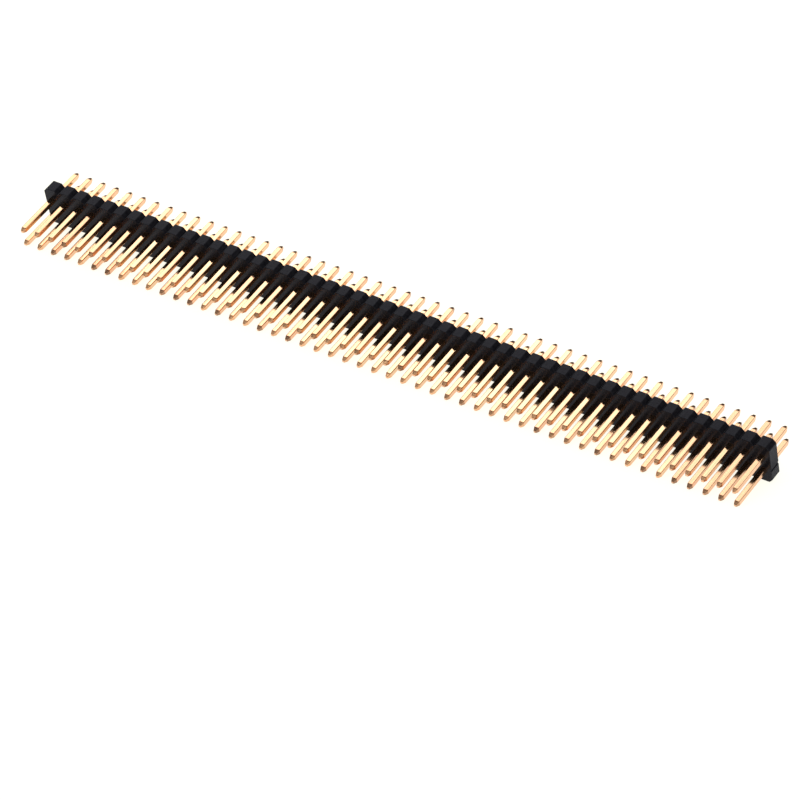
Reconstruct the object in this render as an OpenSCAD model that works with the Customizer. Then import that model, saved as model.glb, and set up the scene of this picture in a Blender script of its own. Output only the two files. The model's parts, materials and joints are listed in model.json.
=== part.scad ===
// Double-row straight pin header strip, lying on its side as it comes to rest.
// Millimetres. +X runs along the strip, the long pins point to -Y, +Z is up.
// The origin is under the middle of the part's box, on the surface it lies on.

/* [Strip] */
// Pin positions along the strip, with one pin of each row at every position
positions = 50; // [2:1:50]
// Distance from one position to the next
pitch = 1.27; // [1.2:0.01:1.5]
// Distance between the two rows of pins
row_spacing = 1.27; // [1.1:0.01:1.5]

/* [Housing] */
// Width of the housing across both rows
housing_width = 3.4; // [3.1:0.05:4.5]
// Height of the housing along the pins, from mating face to board face
housing_height = 1; // [0.8:0.05:2.5]
// Depth of the V notch between neighbouring positions, on both long sides
notch_depth = 0.3; // [0.15:0.01:0.4]
// Run of each flank of a notch along the strip
notch_run = 0.26; // [0.15:0.01:0.4]

/* [Cut end] */
// Width of the crease that the cut left across the +X end face
crease_width = 0.22; // [0.06:0.01:0.3]
// Depth of that crease
crease_depth = 0.07; // [0.02:0.01:0.15]
// Distance of the crease from the middle of the housing, towards the lower row
crease_offset = 0.5; // [0:0.05:0.8]

/* [Pins] */
// Side of the square pin
pin_side = 0.4; // [0.3:0.01:0.5]
// Length of a pin in front of the mating face
mating_length = 3.9; // [2.5:0.1:8]
// Length of a pin behind the board face
tail_length = 2.3; // [1.5:0.1:4]
// Length of the coined taper at each end of a pin
taper_length = 0.3; // [0.1:0.05:0.6]
// Side of the flat left at the end of a taper
tip_side = 0.2; // [0.1:0.01:0.28]

/* [Seat in the housing] */
// Length of the swaged grip that holds a pin in the housing
grip_length = 0.5; // [0.3:0.05:0.7]
// Height of the grip above each flank of the pin
grip_swell = 0.03; // [0.01:0.01:0.06]
// Length of the ramp at each end of the grip
grip_ramp = 0.1; // [0.05:0.01:0.14]
// Clearance between a pin and its channel, where 0 is the moulded or pressed fit
pin_clearance = 0; // [0:0.005:0.02]

/* [Hidden] */
strip_length = positions * pitch;
half_width = housing_width / 2;
// Half the distance from the outside of one row's flats to the outside of the other's
row_reach = (row_spacing + pin_side) / 2;
tip_reach = (row_spacing + tip_side) / 2;
// How far a cut runs past the face that it opens through
cut_margin = 0.1;

// On a flat surface the strip leans on the housing's lower front edge and on the long pins
// of the lower row, at the start of their tapers or at their tips, whichever meets it first
rest_tilt = min(atan((half_width - row_reach) / (mating_length - taper_length)),
                atan((half_width - tip_reach) / mating_length));
rest_lift = half_width * cos(rest_tilt);
front_reach = mating_length * cos(rest_tilt) + tip_reach * sin(rest_tilt);
back_reach = (housing_height + tail_length) * cos(rest_tilt) + tip_reach * sin(rest_tilt);
rest_shift = (front_reach - back_reach) / 2;

function position_x(i) = (i - (positions + 1) / 2) * pitch;
function pair_name(i) = str("pin_pair_", i < 10 ? "0" : "", i);

// Turns the strip from its own frame, with the mating face on Y = 0, to the way it lies
module at_rest() {
    translate([0, rest_shift, rest_lift])
        rotate([rest_tilt, 0, 0])
            children();
}

// Extrudes an outline drawn in X and Y by a thickness centred on Z = 0
module slab(thickness) {
    translate([0, 0, -thickness / 2])
        linear_extrude(thickness)
            children();
}

// Extrudes an outline drawn in X and Z from the mating face to the board face
module through_housing(margin = 0) {
    translate([0, housing_height + margin, 0])
        rotate([90, 0, 0])
            linear_extrude(housing_height + 2 * margin)
                children();
}

// One long side of the housing: a flat at each position between the flanks of its notches
function long_side() = concat(
    [for (i = [1:positions]) each [
        [position_x(i) - pitch / 2, half_width - notch_depth],
        [position_x(i) - pitch / 2 + notch_run, half_width],
        [position_x(i) + pitch / 2 - notch_run, half_width]
    ]],
    [[strip_length / 2, half_width - notch_depth]]
);

// Both long sides as one closed outline
module housing_outline() {
    side = long_side();
    polygon(concat(side, [for (k = [len(side) - 1:-1:0]) [side[k].x, -side[k].y]]));
}

// The stretch of a pin's half outline that is swaged, or of its channel with a clearance
function grip_side(clearance) =
    let (flank = pin_side / 2 + clearance,
         crest = flank + grip_swell,
         middle = housing_height / 2)
    [
        [flank, middle - grip_length / 2],
        [crest, middle - grip_length / 2 + grip_ramp],
        [crest, middle + grip_length / 2 - grip_ramp],
        [flank, middle + grip_length / 2]
    ];

// Half outline of a whole pin from above: two coined tips and the grip between them
function pin_top_view() = concat(
    [[tip_side / 2, -mating_length], [pin_side / 2, taper_length - mating_length]],
    grip_side(0),
    [
        [pin_side / 2, housing_height + tail_length - taper_length],
        [tip_side / 2, housing_height + tail_length]
    ]
);

// Half outline of a whole pin from the end of the strip, where it has no grip
function pin_end_view() = [
    [tip_side / 2, -mating_length],
    [pin_side / 2, taper_length - mating_length],
    [pin_side / 2, housing_height + tail_length - taper_length],
    [tip_side / 2, housing_height + tail_length]
];

// Closes a half outline with its mirror image about X = 0
function both_sides(half) = concat(
    half,
    [for (k = [len(half) - 1:-1:0]) [-half[k].x, half[k].y]]
);

// Square wire, coined to a four-sided taper at both ends and swaged inside the housing
module pin() {
    intersection() {
        slab(pin_side) polygon(both_sides(pin_top_view()));
        rotate([0, 90, 0]) slab(pin_side + 2 * grip_swell) polygon(both_sides(pin_end_view()));
    }
}

// Channel through the housing for one pin, cut past both faces
module pin_channel() {
    flank = pin_side / 2 + pin_clearance;
    slab(2 * flank)
        polygon(both_sides(concat(
            [[flank, -cut_margin]],
            grip_side(pin_clearance),
            [[flank, housing_height + cut_margin]]
        )));
}

module both_rows() {
    for (row = [-1, 1]) translate([0, 0, row * row_spacing / 2]) children();
}

// Shallow V across the end face where the strip was cut from the next one
module end_crease() {
    translate([strip_length / 2, 0, -crease_offset])
        through_housing(cut_margin)
            polygon([
                [cut_margin, crease_width / 2],
                [0, crease_width / 2],
                [-crease_depth, 0],
                [0, -crease_width / 2],
                [cut_margin, -crease_width / 2]
            ]);
}

module housing() {
    color([0.1, 0.1, 0.11])
        at_rest()
            difference() {
                through_housing() housing_outline();
                for (i = [1:positions])
                    translate([position_x(i), 0, 0]) both_rows() pin_channel();
                end_crease();
            }
}

module pin_pair(i) {
    color([0.93, 0.76, 0.42])
        at_rest()
            translate([position_x(i), 0, 0]) both_rows() pin();
}

housing();
for (i = [1:positions])
    pin_pair(i);
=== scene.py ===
import json
import math

import bpy
from mathutils import Matrix, Vector


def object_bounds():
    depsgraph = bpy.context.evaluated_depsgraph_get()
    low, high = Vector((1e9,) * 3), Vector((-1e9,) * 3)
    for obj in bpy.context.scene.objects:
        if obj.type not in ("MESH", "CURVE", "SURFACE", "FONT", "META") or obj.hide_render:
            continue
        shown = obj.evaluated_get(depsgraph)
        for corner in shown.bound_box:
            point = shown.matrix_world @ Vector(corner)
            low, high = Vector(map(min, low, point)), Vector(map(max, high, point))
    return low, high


bl_info = {
    "name": "Pin Header Strip",
    "version": (1, 0, 0),
    "blender": (4, 5, 0),
    "location": "View3D > Sidebar > Pin Header",
    "description": "Finishes a double-row pin header strip and sets it on a pale stage",
    "category": "Object",
}

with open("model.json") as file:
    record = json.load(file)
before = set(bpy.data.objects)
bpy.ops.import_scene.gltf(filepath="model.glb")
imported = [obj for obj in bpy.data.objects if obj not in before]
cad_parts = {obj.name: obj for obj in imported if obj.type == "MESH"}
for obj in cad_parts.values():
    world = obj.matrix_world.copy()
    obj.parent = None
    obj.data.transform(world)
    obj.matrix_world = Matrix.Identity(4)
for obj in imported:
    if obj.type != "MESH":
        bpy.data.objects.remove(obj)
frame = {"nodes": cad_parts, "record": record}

MICROMETRE = 1e-6
MILLIMETRE = 1e-3

# The strip's own directions and sizes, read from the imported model
CAD_LOW, CAD_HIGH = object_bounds()
MOUNTS = {mount["name"]: mount for mount in frame["record"]["mounts"]}
MATING_FACE = Vector(MOUNTS["mating_pins"]["pos_m"])
ALONG_PINS = Vector(MOUNTS["board_face"]["axis"])
ALONG_STRIP = Vector((1, 0, 0))
ACROSS_ROWS = ALONG_STRIP.cross(ALONG_PINS)

PIN_NODES = sorted(name for name in frame["nodes"] if name.startswith("pin_pair"))
POSITIONS = len(PIN_NODES)
STRIP_LENGTH = CAD_HIGH.x - CAD_LOW.x
PITCH = STRIP_LENGTH / POSITIONS


def reach(node, axis):
    """Lowest and highest distance of a node's vertices from the mating face, along an axis."""
    mesh = frame["nodes"][node].data
    distances = [(vertex.co - MATING_FACE).dot(axis) for vertex in mesh.vertices]
    return min(distances), max(distances)


FRONT_TIP, BACK_TIP = reach(PIN_NODES[0], ALONG_PINS)

# Vertices nearer than this are one corner, and facets flatter than this are one face
SAME_CORNER = MICROMETRE / 10
SAME_FACE = math.radians(0.5)

# Edges that turn by more than these angles are rounded
HOUSING_EDGE = math.radians(20)
PIN_EDGE = math.radians(12)

WHITE = (1, 1, 1, 1)


class Wire:
    """An output socket of a shader node, on which arithmetic adds Math nodes."""

    def __init__(self, tree, socket=None):
        self.tree = tree
        self.socket = socket

    def node(self, kind, sockets=None, output=0, **settings):
        """Adds a node: its settings first, then the values or links of its sockets."""
        made = self.tree.nodes.new(kind)
        for name, value in settings.items():
            setattr(made, name, value)
        for key, value in (sockets or {}).items():
            if isinstance(value, Wire):
                self.tree.links.new(value.socket, made.inputs[key])
            else:
                made.inputs[key].default_value = value
        return Wire(self.tree, made.outputs[output])

    def math(self, operation, *values):
        return self.node("ShaderNodeMath", dict(enumerate(values)), operation=operation)

    def vector(self, operation, *values, output="Vector"):
        return self.node(
            "ShaderNodeVectorMath", dict(enumerate(values)), output, operation=operation
        )

    def __add__(self, other):
        return self.math("ADD", self, other)

    def __radd__(self, other):
        return self.math("ADD", other, self)

    def __sub__(self, other):
        return self.math("SUBTRACT", self, other)

    def __rsub__(self, other):
        return self.math("SUBTRACT", other, self)

    def __mul__(self, other):
        return self.math("MULTIPLY", self, other)

    def __rmul__(self, other):
        return self.math("MULTIPLY", other, self)

    def __truediv__(self, other):
        return self.math("DIVIDE", self, other)

    def __abs__(self):
        return self.math("ABSOLUTE", self)

    def along(self, direction):
        """The part of a vector that lies along a direction."""
        return self.vector("DOT_PRODUCT", self, direction, output="Value")

    def step(self, start, end):
        """Rises smoothly from 0 at start to 1 at end, or falls where start is the higher."""
        low, high = min(start, end), max(start, end)
        targets = (0, 1) if start < end else (1, 0)
        return self.node(
            "ShaderNodeMapRange",
            {"Value": self, 1: low, 2: high, 3: targets[0], 4: targets[1]},
            interpolation_type="SMOOTHSTEP",
        )

    def mix(self, factor, first, second):
        """A blend of two colours, with a Mix node on this wire's tree."""
        return self.node(
            "ShaderNodeMix", {0: factor, 6: first, 7: second}, output=2, data_type="RGBA"
        )

    def noise(self, place, size, detail=2.0, roughness=0.5, output="Fac"):
        """Noise whose spots are about size metres across, from 0 to 1."""
        return self.node(
            "ShaderNodeTexNoise",
            {"Vector": place, "Scale": 1 / size, "Detail": detail, "Roughness": roughness},
            output=output,
        )


def opaque(color):
    return (*color, 1)


def new_material(name):
    """An empty material, with a wire on its tree and the surface socket of its output."""
    material = bpy.data.materials.new(name)
    material.use_nodes = True
    material.node_tree.nodes.clear()
    output = material.node_tree.nodes.new("ShaderNodeOutputMaterial")
    return material, Wire(material.node_tree), output.inputs["Surface"]


def strip_place(wire):
    """A point's place along the strip, along the pins and across the rows, from the mating face."""
    point = wire.node("ShaderNodeTexCoord", output="Object")
    point = wire.vector("SUBTRACT", point, MATING_FACE)
    return [point.along(axis) for axis in (ALONG_STRIP, ALONG_PINS, ACROSS_ROWS)]


def stretched(wire, along_strip, along_pins, across_rows):
    """Coordinates for a texture, from three lengths or multiples of them."""
    return wire.node(
        "ShaderNodeCombineXYZ", {"X": along_strip, "Y": along_pins, "Z": across_rows}
    )


def plastic_material(look):
    """Black moulded nylon: matt grain, faint flow marks, and a torn texture on the cut ends."""
    material, wire, surface = new_material("moulded_black")
    strip, pins, rows = strip_place(wire)
    place = stretched(wire, strip, pins, rows)

    grain = wire.noise(place, look.grain_size, detail=3.0)
    mottle = wire.noise(place, 4 * look.grain_size, detail=3.0)
    flow = wire.noise(stretched(wire, strip * 0.35, pins * 2.2, rows), 0.25 * MILLIMETRE)

    # Each cut end is smeared above the crease's line, torn in streaks below it, and dull along it
    end = STRIP_LENGTH / 2
    tear_fade = 0.15 * MILLIMETRE
    smear_start = 0.9 * MILLIMETRE
    crease_rim = 140 * MICROMETRE
    crease_floor = 60 * MICROMETRE
    cut = abs(strip).step(end - 60 * MICROMETRE, end - 40 * MICROMETRE)
    streaks = wire.noise(
        stretched(wire, strip, pins * 0.12, rows), 0.05 * MILLIMETRE, detail=4.0, roughness=0.6
    )
    below = rows.step(-look.crease_offset, -look.crease_offset - tear_fade)
    smeared = cut * rows.step(smear_start, -look.crease_offset) * (1 - below)
    crease = cut * abs(rows + look.crease_offset).step(crease_rim, crease_floor)
    torn = cut * (0.25 + 0.75 * below) * streaks.step(0.35, 0.7) * (1 - crease)

    # The mould was polished where it formed the face that the long pins stand on
    polished = pins.step(0.02 * MILLIMETRE, 0.0)

    base = wire.mix(mottle.step(0.3, 0.7), opaque(look.color), opaque(look.pale_color))
    base = wire.mix(torn, base, opaque(look.cut_color))
    roughness = look.roughness - look.face_gloss * polished
    roughness = roughness + 0.1 * (flow - 0.5) + 0.16 * (mottle - 0.5) * (1 - 0.75 * polished)
    roughness = roughness + 0.12 * cut + 0.1 * smeared + 0.5 * crease
    height = grain * (0.8 + 0.4 * mottle) * (1 - 0.93 * polished) + 3.0 * torn

    bump = wire.node(
        "ShaderNodeBump",
        {"Strength": 1.0, "Distance": look.grain_depth, "Height": height},
    )
    shader = wire.node(
        "ShaderNodeBsdfPrincipled",
        {
            "Base Color": base,
            "Roughness": roughness,
            "Specular IOR Level": look.specular,
            "Specular Tint": opaque(look.gloss_tint),
            "Normal": bump,
        },
    )
    material.node_tree.links.new(shader.socket, surface)
    return material


def gold_material(look):
    """Gold-plated wire: drawing lines, small differences from pin to pin, and coined ends, with
    painted shade on the coined tips of some pins.
    """
    material, wire, surface = new_material("gold_plated_wire")
    strip, pins, rows = strip_place(wire)

    # Each pin's row is 1 above and -1 below, and its own number lies between 0 and 1
    position = wire.math("FLOOR", strip / PITCH)
    row = wire.math("SIGN", rows)
    own = wire.node(
        "ShaderNodeTexWhiteNoise",
        {"Vector": stretched(wire, position, row, 0.0)},
        output="Value",
    )

    lines = wire.noise(
        stretched(wire, strip, pins * 0.012, rows), look.line_width, detail=3.0, roughness=0.6
    )
    smudge = wire.noise(stretched(wire, strip, pins * 0.4, rows), 0.35 * MILLIMETRE, detail=2.0)
    pits = wire.noise(stretched(wire, strip, pins, rows), 25 * MICROMETRE, detail=2.0)

    # Both ends of a pin are alike, so their masks count from its middle
    middle = (FRONT_TIP + BACK_TIP) / 2
    half = (BACK_TIP - FRONT_TIP) / 2
    taper_start = half - look.coined_length
    from_middle = abs(pins - middle)
    coined = from_middle.step(taper_start - 20 * MICROMETRE, taper_start)
    cut = from_middle.step(half - 8 * MICROMETRE, half - 2 * MICROMETRE)

    tone = (own * 0.6 + smudge * 0.7 - 0.15).step(0.1, 0.9)
    # Painted shade and dark reflection: the coined tips darken at random from pin to pin, and more
    # on the lower row
    painted_tip_shade = (own - 0.12 * row).step(0.35, 1.05)
    base = wire.mix(tone, opaque(look.color), opaque(look.deep_color))
    base = wire.mix(lines.step(0.5, 0.8) * 0.5, base, opaque(look.deep_color))
    base = wire.mix(coined * (0.75 + 0.25 * pits), base, opaque(look.coined_color))
    base = wire.mix(coined * painted_tip_shade, base, opaque(look.painted_tip_shade_color))
    base = wire.mix(cut * 0.8, base, opaque(look.core_color))
    roughness = look.roughness + 0.05 * (own - 0.5) + 0.08 * smudge.step(0.5, 0.8)
    roughness = roughness + 0.06 * (lines - 0.5) + 0.1 * coined + 0.1 * cut

    bump = wire.node(
        "ShaderNodeBump",
        {"Strength": 1.0, "Distance": look.line_depth, "Height": lines + 0.5 * coined * pits},
    )
    shader = wire.node(
        "ShaderNodeBsdfPrincipled",
        {"Base Color": base, "Metallic": 1.0, "Roughness": roughness, "Normal": bump},
    )
    material.node_tree.links.new(shader.socket, surface)
    return material


def dress(node, material, edge_radius, edge_angle):
    """Gives a node its material, and rounds its edges without touching its mesh."""
    piece = frame["nodes"][node]
    piece.data.materials.clear()
    piece.data.materials.append(material)
    piece.modifiers.new("Join split corners", "WELD").merge_threshold = SAME_CORNER
    planar = piece.modifiers.new("Join flat facets", "DECIMATE")
    planar.decimate_type = "DISSOLVE"
    planar.angle_limit = SAME_FACE
    rounding = piece.modifiers.new("Round the edges", "BEVEL")
    rounding.width = edge_radius
    rounding.segments = 3
    rounding.limit_method = "ANGLE"
    rounding.angle_limit = edge_angle
    rounding.use_clamp_overlap = True
    shading = piece.modifiers.new("Shade by face area", "WEIGHTED_NORMAL")
    shading.keep_sharp = True


class HousingLook(bpy.types.PropertyGroup):
    """Colours, gloss and texture of the moulded housing"""

    color: bpy.props.FloatVectorProperty(
        name="Colour", description="Colour of the moulded plastic",
        subtype="COLOR", size=3, min=0, max=1, default=(0.0074, 0.0072, 0.0095),
    )
    pale_color: bpy.props.FloatVectorProperty(
        name="Pale Colour", description="Colour of the plastic's paler patches",
        subtype="COLOR", size=3, min=0, max=1, default=(0.0142, 0.0138, 0.0168),
    )
    cut_color: bpy.props.FloatVectorProperty(
        name="Cut Colour", description="Colour of the plastic torn by the cut at each end",
        subtype="COLOR", size=3, min=0, max=1, default=(0.017, 0.0185, 0.018),
    )
    roughness: bpy.props.FloatProperty(
        name="Roughness", description="Roughness of the moulded faces",
        subtype="FACTOR", min=0, max=1, default=0.3,
    )
    specular: bpy.props.FloatProperty(
        name="Specular", description="Strength of the plastic's gloss",
        subtype="FACTOR", min=0, max=1, default=0.135,
    )
    gloss_tint: bpy.props.FloatVectorProperty(
        name="Gloss Tint", description="Tint of what the plastic mirrors",
        subtype="COLOR", size=3, min=0, max=1, default=(0.82, 0.82, 1.0),
    )
    face_gloss: bpy.props.FloatProperty(
        name="Face Gloss", description="How much less rough the face with the long pins is",
        subtype="FACTOR", min=0, max=0.3, default=0.06,
    )
    grain_size: bpy.props.FloatProperty(
        name="Grain Size", description="Width of one grain of the mould's texture",
        unit="LENGTH", min=0.00001, max=0.0005, precision=6, default=0.00005,
    )
    grain_depth: bpy.props.FloatProperty(
        name="Grain Depth", description="Depth of the mould's texture",
        unit="LENGTH", min=0, max=0.00005, precision=6, default=0.000004,
    )
    crease_offset: bpy.props.FloatProperty(
        name="Crease Offset", description="Distance of the cut's crease below the end's middle",
        unit="LENGTH", min=0, max=0.002, precision=6, default=0.0005,
    )
    edge_radius: bpy.props.FloatProperty(
        name="Edge Radius", description="Rounding of the moulded edges",
        unit="LENGTH", min=0, max=0.0002, precision=6, default=0.00003,
    )


class PinLook(bpy.types.PropertyGroup):
    """Colours, gloss and texture of the plated pins, and the painted shade on their tips"""

    color: bpy.props.FloatVectorProperty(
        name="Colour", description="Colour of the gold plating",
        subtype="COLOR", size=3, min=0, max=1, default=(1.0, 0.675, 0.39),
    )
    deep_color: bpy.props.FloatVectorProperty(
        name="Deep Colour", description="Redder colour of thin or rubbed plating",
        subtype="COLOR", size=3, min=0, max=1, default=(1.0, 0.57, 0.33),
    )
    coined_color: bpy.props.FloatVectorProperty(
        name="Coined Colour", description="Colour of the plating on the coined ends of the pins",
        subtype="COLOR", size=3, min=0, max=1, default=(0.97, 0.55, 0.29),
    )
    # Painted shade and dark reflection on the coined tips of some pins, most on the lower row
    painted_tip_shade_color: bpy.props.FloatVectorProperty(
        name="Dull Colour", description="Darker colour that the coined ends of some pins have",
        subtype="COLOR", size=3, min=0, max=1, default=(0.42, 0.24, 0.14),
    )
    core_color: bpy.props.FloatVectorProperty(
        name="Core Colour", description="Colour of the brass bared where a pin was cut",
        subtype="COLOR", size=3, min=0, max=1, default=(0.96, 0.56, 0.33),
    )
    roughness: bpy.props.FloatProperty(
        name="Roughness", description="Roughness of the plating",
        subtype="FACTOR", min=0, max=1, default=0.1,
    )
    coined_length: bpy.props.FloatProperty(
        name="Coined Length", description="Length of the taper at each end of a pin",
        unit="LENGTH", min=0, max=0.001, precision=6, default=0.0003,
    )
    line_width: bpy.props.FloatProperty(
        name="Line Width", description="Width of the drawing lines that run along a pin",
        unit="LENGTH", min=0.000005, max=0.0002, precision=6, default=0.00007,
    )
    line_depth: bpy.props.FloatProperty(
        name="Line Depth", description="Depth of the drawing lines",
        unit="LENGTH", min=0, max=0.00001, precision=7, default=0.0000028,
    )
    edge_radius: bpy.props.FloatProperty(
        name="Edge Radius", description="Rounding of the drawn wire's edges",
        unit="LENGTH", min=0, max=0.0001, precision=6, default=0.00005,
    )


class StageLook(bpy.types.PropertyGroup):
    """Floor, soft light, lamps and camera"""

    floor_color: bpy.props.FloatVectorProperty(
        name="Floor", description="Colour of the floor",
        subtype="COLOR", size=3, min=0, max=1, default=(0.85, 0.85, 0.85),
    )
    floor_glow: bpy.props.FloatProperty(
        name="Floor Glow", description="Share of its own light in the floor that the camera sees",
        subtype="FACTOR", min=0, max=1, default=0.67,
    )
    floor_light: bpy.props.FloatProperty(
        name="Floor Light", description="Strength of the light that the floor shows by itself",
        min=0, max=4, default=1.4,
    )
    # Painted light: a cream tint of the floor's own glow that stands in for warm light thrown by
    # the gold pins, seen where the strip shades the floor
    painted_bounce_color: bpy.props.FloatVectorProperty(
        name="Shade Colour", description="Tint that the floor keeps in the strip's shadow",
        subtype="COLOR", size=3, min=0, max=1, default=(1.0, 0.985, 0.87),
    )
    gloss_glow: bpy.props.FloatProperty(
        name="Gloss Glow", description="Share of its own light in the floor that gloss meets",
        subtype="FACTOR", min=0, max=1, default=0.5,
    )
    sky: bpy.props.FloatProperty(
        name="Sky", description="Brightness of the soft light from all round",
        min=0, max=2, default=0.56,
    )
    upper_sky: bpy.props.FloatProperty(
        name="Upper Sky", description="Brightness that gloss meets above the pale horizon",
        min=0, max=2, default=0.05,
    )
    key_glow: bpy.props.FloatProperty(
        name="Key Glow", description="Brightness of the long softbox over the strip's back",
        min=0, max=4, default=1.1,
    )
    hot_glow: bpy.props.FloatProperty(
        name="Hot Glow", description="Brightness that the hot spot adds in that softbox",
        min=0, max=4, default=0.85,
    )
    side_glow: bpy.props.FloatProperty(
        name="Side Glow", description="Brightness of the dim softbox beside the long one",
        min=0, max=4, default=0.3,
    )
    fill_glow: bpy.props.FloatProperty(
        name="Fill Glow", description="Brightness of the long softbox over the strip's front",
        min=0, max=4, default=0.9,
    )
    lamp_distance: bpy.props.FloatProperty(
        name="Lamp Distance", description="Distance of the softboxes from the strip",
        unit="LENGTH", min=0.2, max=3, default=0.8,
    )
    azimuth: bpy.props.FloatProperty(
        name="Camera Azimuth", description="Angle of the camera round the strip, from its front",
        subtype="ANGLE", default=math.radians(34.45),
    )
    elevation: bpy.props.FloatProperty(
        name="Camera Elevation", description="Height of the camera above the horizon",
        subtype="ANGLE", default=math.radians(32.65),
    )
    distance: bpy.props.FloatProperty(
        name="Camera Distance", description="Distance of the camera from the point it looks at",
        unit="LENGTH", min=0.05, max=5, default=0.3346,
    )
    field_of_view: bpy.props.FloatProperty(
        name="Field of View", description="Angle that the picture spans",
        subtype="ANGLE", min=math.radians(2), max=math.radians(90), default=math.radians(9.501),
    )
    aim: bpy.props.FloatVectorProperty(
        name="Aim", description="Point that the camera looks at, from the middle of the strip",
        unit="LENGTH", size=3, default=(0.0087, -0.01155, 0.00323),
    )


def direction(azimuth, elevation):
    """Unit vector towards an azimuth, counted from the front, and an elevation."""
    level = math.cos(elevation)
    return Vector((math.sin(azimuth) * level, -math.cos(azimuth) * level, math.sin(elevation)))


def add_floor(look):
    """A wide floor: white to the camera and to gloss, softly shaded with a painted warm glow of the
    pins' light in its shade, and clear from below.
    """
    half_side = 4.0
    corners = [(-1, -1, 0), (1, -1, 0), (1, 1, 0), (-1, 1, 0)]
    mesh = bpy.data.meshes.new("floor")
    mesh.from_pydata([half_side * Vector(corner) for corner in corners], [], [(0, 1, 2, 3)])
    floor = bpy.data.objects.new("floor", mesh)
    floor.location.z = CAD_LOW.z
    bpy.context.scene.collection.objects.link(floor)

    material, wire, surface = new_material("pale_floor")
    rays = "ShaderNodeLightPath"
    camera = wire.node(rays, output="Is Camera Ray")
    gloss = wire.node(rays, output="Is Glossy Ray")
    gloss = wire.math("MAXIMUM", gloss, wire.node(rays, output="Is Transmission Ray"))
    emission = "ShaderNodeEmission"
    matt = wire.node("ShaderNodeBsdfDiffuse", {"Color": opaque(look.floor_color)})
    # Painted light: the camera's share of the floor's glow is cream, standing in for the gold pins'
    # warm light where the strip shades the floor
    painted_bounce_glow = wire.node(emission, {"Color": opaque(look.painted_bounce_color), "Strength": look.floor_light})
    white = wire.node(emission, {"Color": WHITE, "Strength": look.floor_light})
    seen = wire.node("ShaderNodeMixShader", {0: camera * look.floor_glow, 1: matt, 2: painted_bounce_glow})
    mixed = wire.node("ShaderNodeMixShader", {0: gloss * look.gloss_glow, 1: seen, 2: white})
    below = camera * wire.node("ShaderNodeNewGeometry", output="Backfacing")
    clear = wire.node("ShaderNodeBsdfTransparent", {"Color": WHITE})
    shown = wire.node("ShaderNodeMixShader", {0: below, 1: mixed, 2: clear})
    material.node_tree.links.new(shown.socket, surface)
    mesh.materials.append(material)


def add_sky(look):
    """Soft light from all round: white behind the stage, and a darker upper room in gloss."""
    world = bpy.data.worlds.new("soft_room")
    world.use_nodes = True
    world.node_tree.nodes.clear()
    output = world.node_tree.nodes.new("ShaderNodeOutputWorld")
    wire = Wire(world.node_tree)

    # Sines of the elevations between which the pale horizon fades into the upper room
    pale_up_to = 0.08
    dark_from = 0.26
    ray = wire.node("ShaderNodeTexCoord", output="Generated")
    height = ray.along(Vector((0, 0, 1)))
    room = look.upper_sky + (1.0 - look.upper_sky) * height.step(dark_from, pale_up_to)

    rays = "ShaderNodeLightPath"
    camera = wire.node(rays, output="Is Camera Ray")
    gloss = wire.node(rays, output="Is Glossy Ray")
    plain = 1 - wire.math("MAXIMUM", camera, gloss)
    strength = camera + gloss * room * (1 - camera) + plain * look.sky
    light = wire.node("ShaderNodeBackground", {"Color": WHITE, "Strength": strength})
    world.node_tree.links.new(light.socket, output.inputs["Surface"])
    bpy.context.scene.world = world


def add_softbox(name, look, glow, towards, spread, depth):
    """An even softbox that faces the strip, with its half angles along and across in degrees."""
    back = Vector(towards).normalized()
    side = (ALONG_STRIP - back * back.dot(ALONG_STRIP)).normalized()
    lamp = bpy.data.lights.new(name, "AREA")
    lamp.shape = "RECTANGLE"
    lamp.size = 2 * look.lamp_distance * math.tan(math.radians(spread))
    lamp.size_y = 2 * look.lamp_distance * math.tan(math.radians(depth))
    lamp.energy = glow * math.pi * lamp.size * lamp.size_y
    softbox = bpy.data.objects.new(name, lamp)
    bpy.context.scene.collection.objects.link(softbox)
    softbox.location = look.lamp_distance * back
    softbox.rotation_euler = Matrix((side, back.cross(side), back)).transposed().to_euler()


def add_lamps(look):
    """A long softbox over the back with a hot spot in it, a dim one beside it, one in front."""
    add_softbox(
        "key_softbox", look, look.key_glow, towards=(-0.39, 0.41, 0.82), spread=31, depth=15
    )
    add_softbox(
        "hot_spot", look, look.hot_glow, towards=(-0.49, 0.385, 0.787), spread=5.5, depth=5
    )
    add_softbox(
        "side_softbox", look, look.side_glow, towards=(0.42, 0.38, 0.82), spread=17, depth=15
    )
    add_softbox(
        "fill_softbox", look, look.fill_glow, towards=(0, -0.39, 0.92), spread=40, depth=10
    )


def add_camera(look):
    """A long lens that looks down on the strip from its right end."""
    lens = bpy.data.cameras.new("camera")
    lens.lens_unit = "FOV"
    lens.angle = look.field_of_view
    lens.clip_start = 0.01
    camera = bpy.data.objects.new("camera", lens)
    bpy.context.scene.collection.objects.link(camera)
    target = (CAD_LOW + CAD_HIGH) / 2 + Vector(look.aim)
    camera.location = target + look.distance * direction(look.azimuth, look.elevation)
    camera.rotation_euler = (target - camera.location).to_track_quat("-Z", "Y").to_euler()
    bpy.context.scene.camera = camera


class HEADER_OT_finish_housing(bpy.types.Operator):
    """Gives the housing its moulded black plastic and its rounded edges"""

    bl_idname = "pin_header.finish_housing"
    bl_label = "Finish Housing"
    bl_options = {"REGISTER", "UNDO"}

    def execute(self, context):
        look = context.scene.header_housing
        dress("housing", plastic_material(look), look.edge_radius, HOUSING_EDGE)
        return {"FINISHED"}


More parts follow.
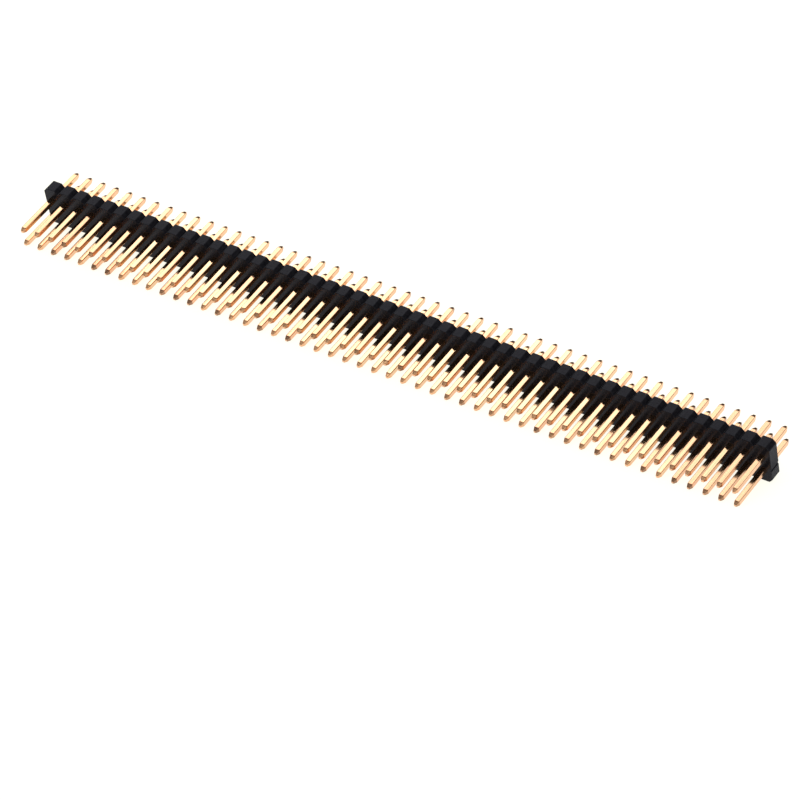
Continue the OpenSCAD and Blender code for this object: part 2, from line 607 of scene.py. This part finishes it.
class HEADER_OT_finish_pins(bpy.types.Operator):
    """Gives every pin its gold plating, coined ends and rounded edges"""

    bl_idname = "pin_header.finish_pins"
    bl_label = "Finish Pins"
    bl_options = {"REGISTER", "UNDO"}

    def execute(self, context):
        look = context.scene.header_pins
        gold = gold_material(look)
        for node in PIN_NODES:
            dress(node, gold, look.edge_radius, PIN_EDGE)
        return {"FINISHED"}


class HEADER_OT_build_stage(bpy.types.Operator):
    """Adds the floor, the soft light, the softboxes and the camera"""

    bl_idname = "pin_header.build_stage"
    bl_label = "Build Stage"
    bl_options = {"REGISTER", "UNDO"}

    def execute(self, context):
        look = context.scene.header_stage
        add_floor(look)
        add_sky(look)
        add_lamps(look)
        add_camera(look)
        context.scene.view_settings.view_transform = "Standard"
        return {"FINISHED"}


class HEADER_PT_strip(bpy.types.Panel):
    """Lists the strip's finishes, the stage and the steps that apply them"""

    bl_idname = "HEADER_PT_strip"
    bl_label = "Pin Header Strip"
    bl_space_type = "VIEW_3D"
    bl_region_type = "UI"
    bl_category = "Pin Header"

    def draw(self, context):
        for look, operator in LOOKS:
            box = self.layout.box()
            settings = getattr(context.scene, look)
            for name in settings.__annotations__:
                box.prop(settings, name)
            box.operator(operator.bl_idname)


GROUPS = {
    "header_housing": HousingLook,
    "header_pins": PinLook,
    "header_stage": StageLook,
}
LOOKS = [
    ("header_housing", HEADER_OT_finish_housing),
    ("header_pins", HEADER_OT_finish_pins),
    ("header_stage", HEADER_OT_build_stage),
]
CLASSES = [*GROUPS.values(), *(operator for _, operator in LOOKS), HEADER_PT_strip]


def register():
    for added in CLASSES:
        bpy.utils.register_class(added)
    for name, group in GROUPS.items():
        setattr(bpy.types.Scene, name, bpy.props.PointerProperty(type=group))


def unregister():
    for name in GROUPS:
        delattr(bpy.types.Scene, name)
    for added in reversed(CLASSES):
        bpy.utils.unregister_class(added)


def main():
    """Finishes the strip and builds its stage."""
    register()
    bpy.ops.pin_header.finish_housing()
    bpy.ops.pin_header.finish_pins()
    bpy.ops.pin_header.build_stage()


if __name__ == "__main__":
    main()
